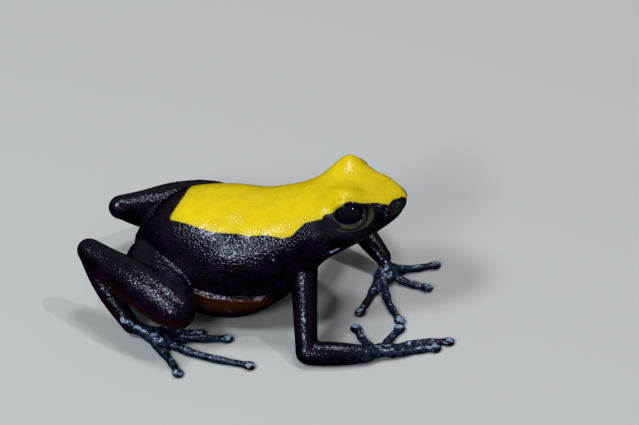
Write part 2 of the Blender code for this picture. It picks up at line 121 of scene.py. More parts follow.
digits = {
    # plan points of each finger and toe, from its root to the middle of its disc
    "palmRight": [
        [(11.4, -5.8), (10.1, -4.5), (9.0, -2.8)], [(12.0, -5.3), (12.3, -3.6), (12.8, -2.0)],
        [(12.9, -5.3), (15.0, -3.7), (17.4, -2.9)], [(12.8, -6.0), (14.6, -4.9), (16.4, -4.1)]],
    "palmLeft": [
        [(9.6, 4.0), (9.3, 1.8), (8.9, -0.3)], [(10.2, 3.9), (11.2, 1.4), (12.6, -0.8)],
        [(10.7, 5.4), (12.2, 4.8), (14.1, 4.5)], [(10.6, 6.3), (12.2, 6.9), (14.2, 8.0)]],
    "soleRight": [
        [(-8.6, -7.6), (-7.8, -6.6), (-6.7, -5.9)], [(-7.8, -7.7), (-6.4, -6.9), (-4.6, -6.4)],
        [(-7.2, -8.0), (-4.8, -7.3), (-2.0, -6.6)], [(-7.2, -8.6), (-3.6, -9.5), (0.8, -9.9)],
        [(-8.0, -9.0), (-6.4, -10.5), (-5.1, -12.2)]],
    "soleLeft": [
        [(-9.0, 7.6), (-8.0, 7.0), (-7.0, 6.3)], [(-8.3, 7.9), (-6.8, 7.5), (-5.0, 6.9)],
        [(-7.8, 8.5), (-5.4, 8.6), (-2.6, 8.2)], [(-7.8, 9.0), (-4.4, 10.4), (-0.2, 11.0)],
        [(-8.6, 9.3), (-7.6, 11.4), (-6.0, 13.6)]],
}

digitShape = {
    "radius": 0.33, "taper": (1.3, 1.05, 0.9), "rootHeight": 0.78, "tipHeight": 0.285,
    "disc": (0.64, 0.54, 0.31), "discSides": 20, "sides": 16, "rings": 18,
    "knuckle": 0.16, "knuckleAt": (0.33, 0.66), "knuckleWidth": 0.07,
}

skinMesh = {
    "voxel": 0.16, "passes": 14, "limbSides": 32, "limbRings": 22, "padSides": 32,
    # where the mesh is made finer: how far ahead of the place and above it, and the reach
    "finer": [("eye", 0.2, -0.1, 2.5), ("eye", 0, 0, 2.1), ("gland", 0.3, 0, 0.9), ("nostril", 0, 0, 0.8)],
    "finerFlank": 1.0,
}

eyes = {
    "at": (7.8, 3.0, 12.65), "radius": 1.45,
    "look": (0.06, 0.81, 0.587),                     # middle of the opening between the lids
    "half": {"front": 60, "rear": 66, "over": 36, "under": 37},   # of the opening, in degrees
    "lid": 1.56, "sunk": 1.12,                       # radii of the lids and of the skin hidden in the ball
    "pupil": (0.42, 0.3), "pupilEdge": (0.9, 1.05), "sides": 64, "rings": 40,
}

mouth = {
    "line": [(14.0, 12.3), (12.0, 12.0), (9.5, 11.0), (7.2, 9.9), (5.6, 9.2), (4.9, 9.0)],
    "depth": 0.2, "width": 0.13, "corner": (4.7, 5.6), "last": 4.0,
    "lips": [(0.07, 0.3, 0.18), (0.056, -0.3, 0.2)],               # height, distance over the line, width
}
nostril = {"at": (10.85, 2.42, 13.0), "radius": 0.17, "depth": 0.35, "rim": (0.08, 0.36, 0.14)}
ear = {"at": (5.95, 4.4, 10.7), "radius": 0.72, "rim": (0.07, 0.1), "dish": (0.05, 0.5)}
jawGland = {"ends": ((6.5, 4.2, 9.6), (7.05, 4.0, 9.85)), "radius": 0.26, "height": 0.2}


def curveValue(values, places, at):
    # A smooth curve through the given values, read at one place.
    last = len(places) - 1
    i = max(j for j in range(last) if j == 0 or places[j] <= at)
    span = places[i + 1] - places[i]
    t = (at - places[i]) / span

    def slope(j):
        if j in (0, last):
            k = min(j, last - 1)
            return (values[k + 1] - values[k]) / (places[k + 1] - places[k])
        return (values[j + 1] - values[j - 1]) / (places[j + 1] - places[j - 1])

    m, n = slope(i) * span, slope(i + 1) * span
    return (((2 * t - 3) * t * t + 1) * values[i] + ((t - 2) * t + 1) * t * m
            + (3 - 2 * t) * t * t * values[i + 1] + (t - 1) * t * t * n)


def eased(value, low, high):
    # 0 below low, 1 above high, with a smooth rise between.
    t = np.clip((value - low) / (high - low), 0.0, 1.0)
    return t * t * (3 - 2 * t)


def bell(value, middle, width):
    # 1 at the middle, falling to almost 0 at twice the width.
    return np.exp(-((value - middle) / width) ** 2)


def reachFrom(points, place, side=1):
    # How far each point is from a place, or from its mirror image on the right side.
    return np.linalg.norm(points - np.array((place[0], place[1] * side, place[2])), axis=1)


def headAngle(x):
    return head["turn"] * eased(x, head["turnFrom"], head["turnTo"])


def turnHead(point):
    # Bends a level point to the frog's left about the root of its neck.
    neck = Vector((head["neck"], 0, 0))
    return neck + Matrix.Rotation(headAngle(point[0]), 3, "Z") @ (Vector(point) - neck)


def levelled(points):
    # The same points with the head's turn taken out.
    level = points.copy()
    for _ in range(5):
        angle = -headAngle(level[:, 0])
        x, y = points[:, 0] - head["neck"], points[:, 1]
        level[:, 0] = head["neck"] + np.cos(angle) * x - np.sin(angle) * y
        level[:, 1] = np.sin(angle) * x + np.cos(angle) * y
    return level


def swollen(point, wide):
    # Lifts a point of the head's upper side by the swellings near it.
    share = min(max((point.z - wide) / head["fullLift"], 0.0), 1.0)
    lifted = point.copy()
    for (x, y), (spreadX, spreadY), lift in head["swellings"]:
        for side in (1, -1):
            away = ((point.x - x) / spreadX) ** 2 + ((point.y * side - y) / spreadY) ** 2
            lifted += share * math.exp(-away) * Vector((lift[0], lift[1] * side, lift[2]))
    return lifted


def addRing(mesh, sides, place, capped):
    made = bmesh.ops.create_circle(mesh, cap_ends=capped, segments=sides, radius=1, matrix=place)
    return made["verts"], list({edge for vert in made["verts"] for edge in vert.link_edges})


def bridged(mesh, rings):
    # Skins neighbouring rings of edges to each other.
    for near, far in zip(rings, rings[1:]):
        bmesh.ops.bridge_loops(mesh, edges=near + far)


def addTrunk(mesh):
    # Torso and head in one, from rings along X.
    sections = trunk["sections"]
    places = [row[0] for row in sections]
    stops = [places[0], places[0] + trunk["endStep"]]
    while stops[-1] < places[-1] - trunk["endStep"] - trunk["step"]:
        stops.append(stops[-1] + trunk["step"])
    stops += [places[-1] - trunk["endStep"], places[-1]]
    rings = []
    for x in stops:
        top, low, half, wide = (curveValue([row[k] for row in sections], places, x) for k in (1, 2, 3, 4))
        verts, edges = addRing(mesh, trunk["sides"], Matrix(), x in (stops[0], stops[-1]))
        power = 2 / trunk["squareness"]
        for vert in verts:
            across, up = vert.co.x, vert.co.y
            rise = top - wide if up > 0 else wide - low
            vert.co = turnHead(swollen(Vector((
                x, half * math.copysign(abs(across) ** power, across),
                wide + rise * math.copysign(abs(up) ** power, up))), wide))
        rings.append(edges)
    bridged(mesh, rings)


def addLimb(mesh, points, radii, sides, rings, knuckles=0.0):
    # A tapered limb along a smooth line, with round ends that reach beyond its end points.
    points = [Vector(point) for point in points]
    marks = [i / (len(radii) - 1) for i in range(len(radii))]
    steps = [i / (len(points) - 1) for i in range(len(points))]
    first, last = points[0].copy(), points[-1].copy()
    points[0] = first + (first - points[1]).normalized() * radii[0]
    points[-1] = last + (last - points[-2]).normalized() * radii[-1]
    length = sum((b - a).length for a, b in zip(points, points[1:]))
    low, high = radii[0] / length, 1 - radii[-1] / length

    def centre(t):
        return Vector([curveValue([point[k] for point in points], steps, t) for k in range(3)])

    roundEnd = (0.03, 0.12, 0.3, 0.6, 1.0)
    shares = [low * part for part in roundEnd]
    shares += [low + (high - low) * (k + 1) / (rings + 1) for k in range(rings)]
    shares += [1 - (1 - high) * part for part in reversed(roundEnd)]
    loops = []
    for t in shares:
        radius = curveValue(radii, marks, t)
        intoEnd = max((low - t) / low, (t - high) / (1 - high), 0.0)
        radius *= math.sqrt(1 - intoEnd ** 2)
        for at in digitShape["knuckleAt"]:
            radius *= 1 + knuckles * math.exp(-((t - at) / digitShape["knuckleWidth"]) ** 2)
        along = (centre(min(t + 0.01, 1)) - centre(max(t - 0.01, 0))).normalized()
        side = along.cross(Vector((0, 0, 1)))
        if side.length < 0.3:
            side = along.cross(Vector((1, 0, 0)))
        side.normalize()
        up = side.cross(along)
        turn = Matrix((side, up, along)).transposed().to_4x4()
        place = Matrix.Translation(centre(t)) @ turn @ Matrix.Scale(max(radius, 0.01), 4)
        loops.append(addRing(mesh, sides, place, t in (shares[0], shares[-1]))[1])
    bridged(mesh, loops)


def addPad(mesh, at, size, turn, sides):
    place = Matrix.Translation(at) @ Matrix.Rotation(turn, 4, "Z") @ Matrix.Diagonal((*size, 1))
    bmesh.ops.create_uvsphere(mesh, u_segments=sides, v_segments=sides // 2, radius=1, matrix=place)


def digitPath(pad, plan):
    # A digit starts on its palm or sole and comes down to the floor.
    start = pads[pad][0][2] * digitShape["rootHeight"]
    heights = (start, digitShape["radius"] * digitShape["taper"][1], digitShape["tipHeight"])
    return [Vector((x, y, z)) for (x, y), z in zip(plan, heights)]


def addDigit(mesh, pad, plan):
    path = digitPath(pad, plan)
    radii = [digitShape["radius"] * taper for taper in digitShape["taper"]]
    addLimb(mesh, path, radii, digitShape["sides"], digitShape["rings"], digitShape["knuckle"])
    heading = path[-1] - path[-2]
    addPad(mesh, path[-1], digitShape["disc"], math.atan2(heading.y, heading.x), digitShape["discSides"])


def newObject(name, mesh):
    data = bpy.data.meshes.new(name)
    bmesh.ops.recalc_face_normals(mesh, faces=mesh.faces)
    mesh.to_mesh(data)
    mesh.free()
    obj = bpy.data.objects.new(name, data)
    bpy.context.scene.collection.objects.link(obj)
    return obj


def applyModifiers(obj):
    graph = bpy.context.evaluated_depsgraph_get()
    done = bpy.data.meshes.new_from_object(obj.evaluated_get(graph))
    obj.modifiers.clear()
    old = obj.data
    obj.data = done
    bpy.data.meshes.remove(old)


def readPoints(obj, what="co"):
    values = np.empty(len(obj.data.vertices) * 3)
    obj.data.vertices.foreach_get(what, values)
    return values.reshape(-1, 3)


def writePoints(obj, points):
    obj.data.vertices.foreach_set("co", points.ravel())
    obj.data.update()


def readEdges(obj):
    ends = np.empty(len(obj.data.edges) * 2, dtype=np.int64)
    obj.data.edges.foreach_get("vertices", ends)
    return ends.reshape(-1, 2)


def relaxed(points, ends, passes):
    # Evens the surface out without shrinking it: each pass goes in and a little farther back out.
    count = len(points)
    a, b = ends[:, 0], ends[:, 1]
    near = np.bincount(a, minlength=count) + np.bincount(b, minlength=count)
    for _ in range(passes):
        for factor in (0.5, -0.52):
            total = np.stack([
                np.bincount(a, points[b, k], count) + np.bincount(b, points[a, k], count)
                for k in range(3)], axis=1)
            points = points + factor * (total / near[:, None] - points)
    return points


def refined(obj, middle, reach):
    # Halves the edges of the skin around one place.
    mesh = bmesh.new()
    mesh.from_mesh(obj.data)
    inside = {vert for vert in mesh.verts if (vert.co - middle).length < reach}
    edges = [edge for edge in mesh.edges if edge.verts[0] in inside and edge.verts[1] in inside]
    bmesh.ops.subdivide_edges(mesh, edges=edges, cuts=1, use_grid_fill=True)
    mesh.to_mesh(obj.data)
    mesh.free()


def makeSkin():
    # Fuses trunk, limbs, pads and digits into one even skin, finer where it is sculpted.
    mesh = bmesh.new()
    addTrunk(mesh)
    for points, radii in limbs.values():
        addLimb(mesh, points, radii, skinMesh["limbSides"], skinMesh["limbRings"])
    for at, size, turn in pads.values():
        addPad(mesh, at, size, turn, skinMesh["padSides"])
    for pad, plans in digits.items():
        for plan in plans:
            addDigit(mesh, pad, plan)
    skin = newObject("skin", mesh)
    remesh = skin.modifiers.new("oneSkin", "REMESH")
    remesh.mode = "VOXEL"
    remesh.voxel_size = skinMesh["voxel"]
    applyModifiers(skin)
    points = relaxed(readPoints(skin), readEdges(skin), skinMesh["passes"])
    writePoints(skin, points)
    places = {"eye": eyes["at"], "gland": jawGland["ends"][0], "nostril": nostril["at"]}
    for side in (1, -1):
        for name, ahead, above, reach in skinMesh["finer"]:
            x, y, z = places[name]
            refined(skin, turnHead((x + ahead, y * side, z + above)), reach)
        for x, y, z in folds["flank"][0]:
            refined(skin, Vector((x, y * side, z)), skinMesh["finerFlank"])
    print("skin:", len(skin.data.vertices), "points")
    return skin


def eyeFrame(side):
    # Middle of an eye and its axes: out of the opening, forward and up over the ball.
    x, y, z = eyes["at"]
    middle = np.array(turnHead((x, y * side, z)))
    turn = Matrix.Rotation(head["turn"], 3, "Z")
    look = (turn @ Vector((eyes["look"][0], eyes["look"][1] * side, eyes["look"][2]))).normalized()
    fore = turn @ Vector((1, 0, 0))
    fore = (fore - look * fore.dot(look)).normalized()
    up = fore.cross(look) * side
    if up.z < 0:
        up = -up
    return middle, np.array(look), np.array(fore), np.array(up)


lidShape = {
    "brow": 0.16,                                    # how far the upper lid stands out
    # height, distance outside the lid's edge and width
    "rim": (0.05, 0.25, 0.22), "fold": (0.07, 0.82, 0.13), "furrow": (-0.11, 0.58, 0.1),
    # which directions round the eye count as under it, with its corners, as over it and as behind it
    "under": (-0.15, 0.35), "corners": 0.45, "over": (0.1, 0.7), "behind": (0.3, 0.8),
    # distances from its edge between which a lid passes into the head, and what shifts them
    "start": 0.35, "startShift": -0.25, "end": 1.05, "endOver": -0.35, "endBehind": 0.3,
    "edge": (-0.2, 0.02), "margin": 0.02,            # where a lid comes up out of the ball
    "least": 0.25, "tilt": 0.4, "plain": (-0.5, 0.6),              # the folds are plainest in front
    "fade": (2.1, 2.7), "fadeAngle": (80, 123), "widest": 125,     # where the lids run out into the head
    # the olive bands, a painted reflection of a yellow ground on the lower lid: both edges of the first,
    # strength, middle and width of the second, and where they show
    "band": ((0.0, 0.08), (0.45, 0.55)), "ridge": (0.8, 0.83, 0.1), "bandTilt": 0.8, "shown": (-0.2, 0.5),
    "hidden": (-0.05, 0.06),                         # edge of the skin inside the opening
}


def sculptEye(points, side):
    # Opens the lids over the ball, lays the folds of the lower lid round it, and gives where an olive
    # reflection is painted on those folds.
    middle, look, fore, up = eyeFrame(side)
    away = points - middle
    reach = np.linalg.norm(away, axis=1)
    to = away / reach[:, None]
    angle = np.degrees(np.arccos(np.clip(to @ look, -1, 1)))
    ahead, above = to @ fore, to @ up
    flat = np.maximum(np.hypot(ahead, above), 1e-6)
    ahead, above = ahead / flat, above / flat
    half = eyes["half"]
    wide = np.where(ahead > 0, half["front"], half["rear"])
    tall = np.where(above > 0, half["over"], half["under"])
    rim = 1 / np.sqrt((ahead / wide) ** 2 + (above / tall) ** 2)
    beyond = np.radians(angle - rim) * eyes["lid"]       # distance outside the lid's edge, in mm
    beyond = np.where(beyond > 0, np.hypot(beyond, np.maximum(reach - eyes["lid"], 0)), beyond)
    lower = eased(-above + lidShape["corners"] * np.abs(ahead), *lidShape["under"])
    brow = eased(above, *lidShape["over"])
    back = eased(-ahead, *lidShape["behind"])
    start = lidShape["start"] + lidShape["startShift"] * np.maximum(brow, back)
    end = lidShape["end"] + lidShape["endOver"] * brow + lidShape["endBehind"] * back
    hold = 1 - eased(beyond, start, end)
    rimUp, *rimAt = lidShape["rim"]
    foldUp, *foldAt = lidShape["fold"]
    furrowUp, *furrowAt = lidShape["furrow"]
    target = eyes["lid"] + lidShape["brow"] * brow + rimUp * bell(beyond, *rimAt)
    target = eyes["sunk"] + (target - eyes["sunk"]) * eased(beyond, *lidShape["edge"])
    shaped = hold * target + (1 - hold) * reach
    shown = eased(ahead - lidShape["tilt"] * above, *lidShape["plain"])
    shown = lidShape["least"] + (1 - lidShape["least"]) * shown
    creases = shown * (foldUp * bell(beyond, *foldAt) + furrowUp * bell(beyond, *furrowAt))
    shaped = np.where(beyond > 0.0, np.maximum(shaped, eyes["lid"] - lidShape["margin"]), shaped)
    shaped += lower * creases
    near = (reach < lidShape["fade"][1]) & (angle < lidShape["widest"])
    fade = (1 - eased(reach, *lidShape["fade"])) * (1 - eased(angle, *lidShape["fadeAngle"]))
    moved = middle + to * (reach + (shaped - reach) * fade)[:, None]
    result = np.where(near[:, None], moved, points)
    # olive painted on the lower lid's folds as the reflection of a yellow ground
    first, last = lidShape["band"]
    ridgeStrength, *ridgeAt = lidShape["ridge"]
    rimBand = lower * (eased(beyond, *first) - eased(beyond, *last))
    ridge = lower * ridgeStrength * bell(beyond, *ridgeAt)
    shown = fade * eased(ahead - lidShape["bandTilt"] * above, *lidShape["shown"])
    oliveReflection = np.where(near, np.clip(rimBand + ridge, 0, 1) * shown, 0.0)
    inside = np.where(near, 1 - eased(beyond, *lidShape["hidden"]), 0.0)
    return result, oliveReflection, inside


def lineDistance(level, line):
    # Distance in side view from a line of (x, z) points, less than zero under it.
    xs = np.array([point[0] for point in line])[::-1]
    zs = np.array([point[1] for point in line])[::-1]
    height = np.interp(level[:, 0], xs, zs)
    slope = np.interp(level[:, 0] + 0.1, xs, zs) - np.interp(level[:, 0] - 0.1, xs, zs)
    return (level[:, 2] - height) * np.cos(np.arctan(slope / 0.2))


def pathDistance(points, path):
    # Nearest distance from a line of points, and which way up the point lies from it.
    best = np.full(len(points), 1e9)
    over = np.zeros(len(points))
    for a, b in zip(path, path[1:]):
        a, b = np.array(a), np.array(b)
        span = b - a
        share = np.clip(((points - a) @ span) / (span @ span), 0, 1)
        away = points - (a + share[:, None] * span)
        reach = np.linalg.norm(away, axis=1)
        nearer = reach < best
        best = np.where(nearer, reach, best)
        over = np.where(nearer, away[:, 2], over)
    return best, over


def glandDistance(level, side):
    # Distance from the gland at an angle of the jaw, where a highlight is painted.
    return pathDistance(level, [(x, y * side, z) for x, y, z in jawGland["ends"]])[0]


def sculptHead(skin):
    # Presses in the mouth and the nostrils, raises the ears and glands, and opens the lids.
    normals = readPoints(skin, "normal")
    points = readPoints(skin)
    level = levelled(points)
    apart = lineDistance(level, mouth["line"])
    along = eased(level[:, 0], *mouth["corner"]) * (level[:, 0] > mouth["last"])
    push = -mouth["depth"] * bell(apart, 0, mouth["width"])
    for height, over, width in mouth["lips"]:
        push += height * bell(apart, over, width)
    points = points + normals * (push * along)[:, None]
    depth, (middle, length), (height, tall), least = head["hollow"]
    for side in (1, -1):
        reach = reachFrom(level, nostril["at"], side)
        push = -nostril["depth"] * bell(reach, 0, nostril["radius"])
        push += nostril["rim"][0] * bell(reach, *nostril["rim"][1:])
        reach = reachFrom(level, ear["at"], side)
        push += ear["rim"][0] * bell(reach, ear["radius"], ear["rim"][1])
        push -= ear["dish"][0] * bell(reach, 0, ear["dish"][1])
        push += jawGland["height"] * bell(glandDistance(level, side), 0, jawGland["radius"])
        for place, rise, radius in head["temple"]:
            push += rise * bell(reachFrom(level, place, side), 0, radius)
        hollow = bell(level[:, 0], middle, length) * bell(level[:, 2], height, tall)
        push -= depth * hollow * (level[:, 1] * side > least)
        points = points + normals * push[:, None]
    # where an olive reflection is painted round the eyes, and the skin hidden inside their openings
    oliveReflection, inside = np.zeros(len(points)), np.zeros(len(points))
    for side in (1, -1):
        points, band, hidden = sculptEye(points, side)
        oliveReflection, inside = np.maximum(oliveReflection, band), np.maximum(inside, hidden)
    writePoints(skin, points)
    print("head: mouth, nostrils, ears and lids")
    return oliveReflection, inside


folds = {
    # a crease: points, depth, width, then height and distance of the roll under it
    "flank": ([(-6.6, 5.2, 5.2), (-5.5, 5.66, 4.73), (-3.56, 6.09, 4.65), (-0.85, 6.03, 4.7),
               (0.28, 5.81, 4.6), (1.3, 5.3, 4.9)], 0.3, 0.16, 0.2, 0.34),
    "throat": ([(5.0, 4.2, 8.6), (5.1, 3.2, 6.9), (5.1, 1.5, 6.1), (5.1, 0.0, 5.9)], 0.1, 0.25, 0.05, 0.5),
    "armpit": ([(2.6, 5.0, 8.6), (3.0, 5.1, 7.2), (3.3, 4.6, 5.8)], 0.16, 0.3, 0.08, 0.5),
}
rollWidth = 0.7     # of a roll, as share of its distance
# tiny bumps behind the head and off the floor, on skin that doesn't face down
granules = {"seed": 7, "count": 260, "size": (0.1, 0.22), "height": (0.02, 0.06),
            "foremost": 5.5, "lowest": 1.5, "facing": -0.3}


def sculptBody(skin):
    # Lays the folds on both sides, and scatters the granules.
    normals = readPoints(skin, "normal")
    points = readPoints(skin)
    level = levelled(points)
    mirror = level * np.array((1, -1, 1))
    for path, depth, width, roll, distance in folds.values():
        for here in (level, mirror):
            reach, over = pathDistance(here, path)
            push = -depth * bell(reach, 0, width)
            push += roll * bell(reach, distance, distance * rollWidth) * (over < 0)
            points = points + normals * push[:, None]
    random = np.random.default_rng(granules["seed"])
    grown = 0
    while grown < granules["count"]:
        spot = random.integers(len(points))
        if (level[spot, 0] > granules["foremost"] or level[spot, 2] < granules["lowest"]
                or normals[spot, 2] < granules["facing"]):
            continue
        size, height = random.uniform(*granules["size"]), random.uniform(*granules["height"])
        reach = reachFrom(points, points[spot])
        points = points + normals * (height * bell(reach, 0, size))[:, None]
        grown += 1
    points[:, 2] = np.maximum(points[:, 2], 0.0)
    writePoints(skin, points)
    print("body: folds and granules")


markings = {
    # the lower edge of the yellow on the right side, level with the head's turn taken out
    "edge": [(-8.3, 1.9, 9.5), (-7.9, 2.5, 9.55), (-6.69, 2.95, 9.77), (-4.02, 3.79, 9.79),
             (-1.56, 3.8, 9.9), (1.08, 3.89, 10.2), (2.81, 4.1, 10.37), (3.3, 4.04, 10.58),
             (3.81, 3.73, 11.21), (4.32, 3.44, 11.84), (5.35, 3.52, 12.4), (6.07, 3.76, 12.68),
             (6.46, 3.66, 13.2), (7.21, 3.44, 13.71), (7.96, 3.2, 14.04), (9.11, 3.08, 14.05),
             (10.24, 2.3, 13.62), (10.81, 2.13, 13.37), (11.28, 1.99, 13.16), (11.59, 1.19, 13.18),
             (12.09, 0.66, 12.97), (12.44, 0.11, 12.78)],
    # the rear edge of the yellow, as y and x, and how steep it is beside the sides' edge
    "rear": [(-2.6, -8.1), (-1.95, -7.94), (-1.03, -7.61), (0.37, -7.31), (2.11, -7.2), (3.0, -7.2)],
    "rearSteep": 0.5, "below": -5.0,
    # over an eye: place ahead of its middle, and how far round the ball the yellow comes down, in degrees
    "lid": [(-2.0, 30), (-1.6, 38), (-1.2, 50), (-0.84, 62), (-0.1, 75), (0.6, 79), (1.1, 84), (2.0, 115)],
    "lidArea": (2.0, 1.6, 4),      # its reach along and towards the midline, and how fast it ends
    # the yellow comes lower on the left of the snout, as x and share, and over the left eye, in degrees
    "farSnout": [(8.6, 1), (10.0, 0.85), (10.95, 0.74), (11.5, 0.42), (12.2, 0.3)],
    "farLid": 25, "farLidFrom": (-1.7, -0.8),
    # pale-blue spots along each digit, whitened to stand for painted glints: share of its length, size and
    # strength
    "spots": [(0.3, 0.42, 0.72), (0.62, 0.38, 0.72), (0.85, 0.3, 0.72), (1.02, 0.5, 0.95)],
    "spotEdge": (0.45, 1.25), "spotRise": 0.15,      # shares of its size, and height over the digit's middle
    # the painted highlight along the top of each digit that joins them, and the painted highlight at the
    # jaw's gland: inner and outer edge, strength
    "stripe": (0.12, 0.32, 0.5), "stripeRise": 0.2, "gland": (0.12, 0.34, 1.1),
    # painted highlights on the insteps, palms and snout tip, and pale streaks beside the nostrils: ends,
    # width and strength
    "pale": [((-11.2, -7.9, 1.9), (-7.5, -8.9, 1.2), 0.45, 0.7),
             ((-11.2, 7.9, 1.9), (-7.9, 9.1, 1.2), 0.45, 0.7),
             ((11.0, -6.4, 1.1), (13.0, -5.6, 1.1), 0.5, 0.6), ((9.9, 5.6, 1.3), (10.5, 4.4, 1.3), 0.7, 0.7),
             (turnHead((11.0, -2.8, 12.6)), turnHead((11.5, -2.4, 12.9)), 0.3, 0.6),
             (turnHead((11.0, 2.8, 12.6)), turnHead((11.5, 2.4, 12.9)), 0.3, 0.6),
             (turnHead((12.1, -1.35, 12.95)), turnHead((11.7, -2.2, 12.45)), 0.28, 0.5),
             (turnHead((12.1, 1.35, 12.95)), turnHead((11.7, 2.2, 12.45)), 0.28, 0.5)],
    # blue tinge of hands and feet: middle in plan and what is added to the distance from it
    "tinged": [((13, -5), 1.3), ((11.5, 4), 1.3), ((-5, -9), 0), ((-6, 10), 0)],
    "tingeFade": (3.5, 6.5), "tingeHeight": (1.2, 2.2),
    # brown painted under the flank's crease as the reflection of a warm ground: where it starts and fades
    # below it, to what share, and its ends
    "warmReflection": {"start": (0.0, 0.3), "fade": (0.7, 2.4), "faded": 0.9, "halfWidth": 6.6,
              "rear": (-6.9, -5.7), "front": (0.8, 2.6)},
    # brown reflection painted under the hind legs, on skin that faces down: strength, facing, distance from
    # the midline, height and front end
    "legs": {"strength": 0.3, "facing": (-0.35, 0.3), "out": (5.5, 7.5), "height": (1.4, 2.0),
             "front": (-4.5, -3.0)},
    # less wet patches: place, distance from it, width and strength; the second starts a little over its place
    "dry": {"temple": ((5.9, 3.9, 12.0), 0, 1.0, 1.2), "lid": (eyes["at"], 1.7, 0.45, 0.8),
            "top": 0.3, "topFade": 0.5},
    # olive painted as the reflection of a yellow ground on the lower lip, under the mouth, and on the snout's
    # sides: place, width and strength
    "lip": {"at": -0.75, "width": 0.45, "from": (6.5, 8.5), "strength": 0.7},
    "snoutSide": ((12.0, 1.9, 12.2), 0.6, 0.22),
}


def yellowEdge(level):
    # Distance inside the edge of the yellow, in mm, less than zero on the black.
    places = [row[0] for row in trunk["sections"]]
    wides = [row[4] for row in trunk["sections"]]
    xs = np.array([point[0] for point in markings["edge"]])
    bounds = [math.atan2(z - curveValue(wides, places, x), y) for x, y, z in markings["edge"]]
    middle = np.interp(level[:, 0], places, wides)
    across, rise = np.abs(level[:, 1]), level[:, 2] - middle
    angle = np.arctan2(rise, across)
    lowered = np.where(level[:, 1] > 0, np.interp(level[:, 0], *zip(*markings["farSnout"])), 1)
    side = (angle - lowered * np.interp(level[:, 0], xs, bounds)) * np.hypot(across, rise)
    ys, backs = zip(*markings["rear"])
    rear = markings["rearSteep"] * (level[:, 0] - np.interp(level[:, 1], ys, backs))
    inside = np.where(rise > 0, np.minimum(side, rear), markings["below"])
    x, y, z = eyes["at"]
    ahead, out, over = level[:, 0] - x, across - y, level[:, 2] - z
    lidAngle = np.interp(ahead, *zip(*markings["lid"]))
    lidAngle -= markings["farLid"] * (level[:, 1] > 0) * eased(ahead, *markings["farLidFrom"])
    lid = (np.arctan2(over, out) - np.radians(lidAngle)) * np.hypot(out, over)
    along, inwards, ending = markings["lidArea"]
    away = np.maximum(np.abs(ahead) - along, 0) + np.maximum(-out - inwards, 0)
    return np.minimum(inside, lid + ending * away)


def paleBlueAndHighlightAreas(points, level):
    # Pale-blue spots on the digits, whitened as painted glints, and painted highlights: stripes along the
    # digits, streaks on the palms, insteps and snout tip, and the jaw's glands; pale streaks beside the
    # nostrils.
    blue = np.zeros(len(points))
    inner, outer, strength = markings["stripe"]
    spotUp, stripeUp = (Vector((0, 0, markings[name])) for name in ("spotRise", "stripeRise"))
    for pad, plans in digits.items():
        for plan in plans:
            path = digitPath(pad, plan)
            for share, size, full in markings["spots"]:
                leg = min(int(share * 2), 1)
                at = path[leg].lerp(path[leg + 1], share * 2 - leg)
                reach = reachFrom(points, at + spotUp)
                edges = [size * part for part in markings["spotEdge"]]
                blue = np.maximum(blue, full * (1 - eased(reach, *edges)))
            for near, far in zip(path, path[1:]):
                reach, _ = pathDistance(points, [near + stripeUp, far + stripeUp])
                blue = np.maximum(blue, strength * (1 - eased(reach, inner, outer)))
    for a, b, size, strength in markings["pale"]:
        reach, _ = pathDistance(points, [a, b])
        blue = np.maximum(blue, strength * (1 - eased(reach, size * 0.5, size)))
    inner, outer, strength = markings["gland"]
    glands = np.minimum(glandDistance(level, 1), glandDistance(level, -1))
    return np.maximum(blue, strength * (1 - eased(glands, inner, outer)))


def tingedAreas(points):
    # The hands and the feet, near the floor.
    reach = np.min([np.linalg.norm(points[:, :2] - np.array(at), axis=1) + more
                    for at, more in markings["tinged"]], axis=0)
    low = 1 - eased(points[:, 2], *markings["tingeHeight"])
    return (1 - eased(reach, *markings["tingeFade"])) * low


def warmReflectionAreas(points, level, normals):
    # Painted reflection of a warm ground: a strip under each flank, and faintly the undersides of the hind
    # legs.
    belly, legs = markings["warmReflection"], markings["legs"]
    crease = [(x, z) for x, y, z in folds["flank"][0]]
    drop = np.interp(level[:, 0], *zip(*crease)) - points[:, 2]        # how far under the flank's crease
    wide = np.abs(level[:, 1])
    under = eased(drop, *belly["start"]) * (1 - belly["faded"] * eased(drop, *belly["fade"]))
    under *= (wide < belly["halfWidth"]) * eased(level[:, 0], *belly["rear"])
    under *= 1 - eased(level[:, 0], *belly["front"])
    below = legs["strength"] * eased(-normals[:, 2], *legs["facing"]) * eased(wide, *legs["out"])
    below *= eased(points[:, 2], *legs["height"]) * (1 - eased(level[:, 0], *legs["front"]))
    return np.maximum(under, below)


def dryAreas(level):
    # Behind the eyes and on the lower lids.
    place, far, width, strength = markings["dry"]["temple"]
    folded = np.column_stack((level[:, 0], np.abs(level[:, 1]), level[:, 2]))
    dry = strength * bell(reachFrom(folded, place), far, width)
    place, far, width, strength = markings["dry"]["lid"]
    below = eased(place[2] + markings["dry"]["top"] - level[:, 2], 0, markings["dry"]["topFade"])
    return np.clip(dry + strength * bell(reachFrom(folded, place), far, width) * below, 0, 1)


def oliveReflectionAreas(level, bands):
    # Painted olive reflection: the bands round the eyes, the lower lip and the snout's sides.
    lip = markings["lip"]
    jaw = bell(lineDistance(level, mouth["line"]), lip["at"], lip["width"]) * eased(level[:, 0], *lip["from"])
    place, width, strength = markings["snoutSide"]
    snout = np.maximum(*(bell(reachFrom(level, place, side), 0, width) for side in (1, -1)))
    return np.clip(bands + lip["strength"] * jaw + strength * snout, 0, 1)


def addAttribute(skin, name, values):
    layer = skin.data.attributes.new(name, "FLOAT", "POINT")
    layer.data.foreach_set("value", values.astype(np.float32))


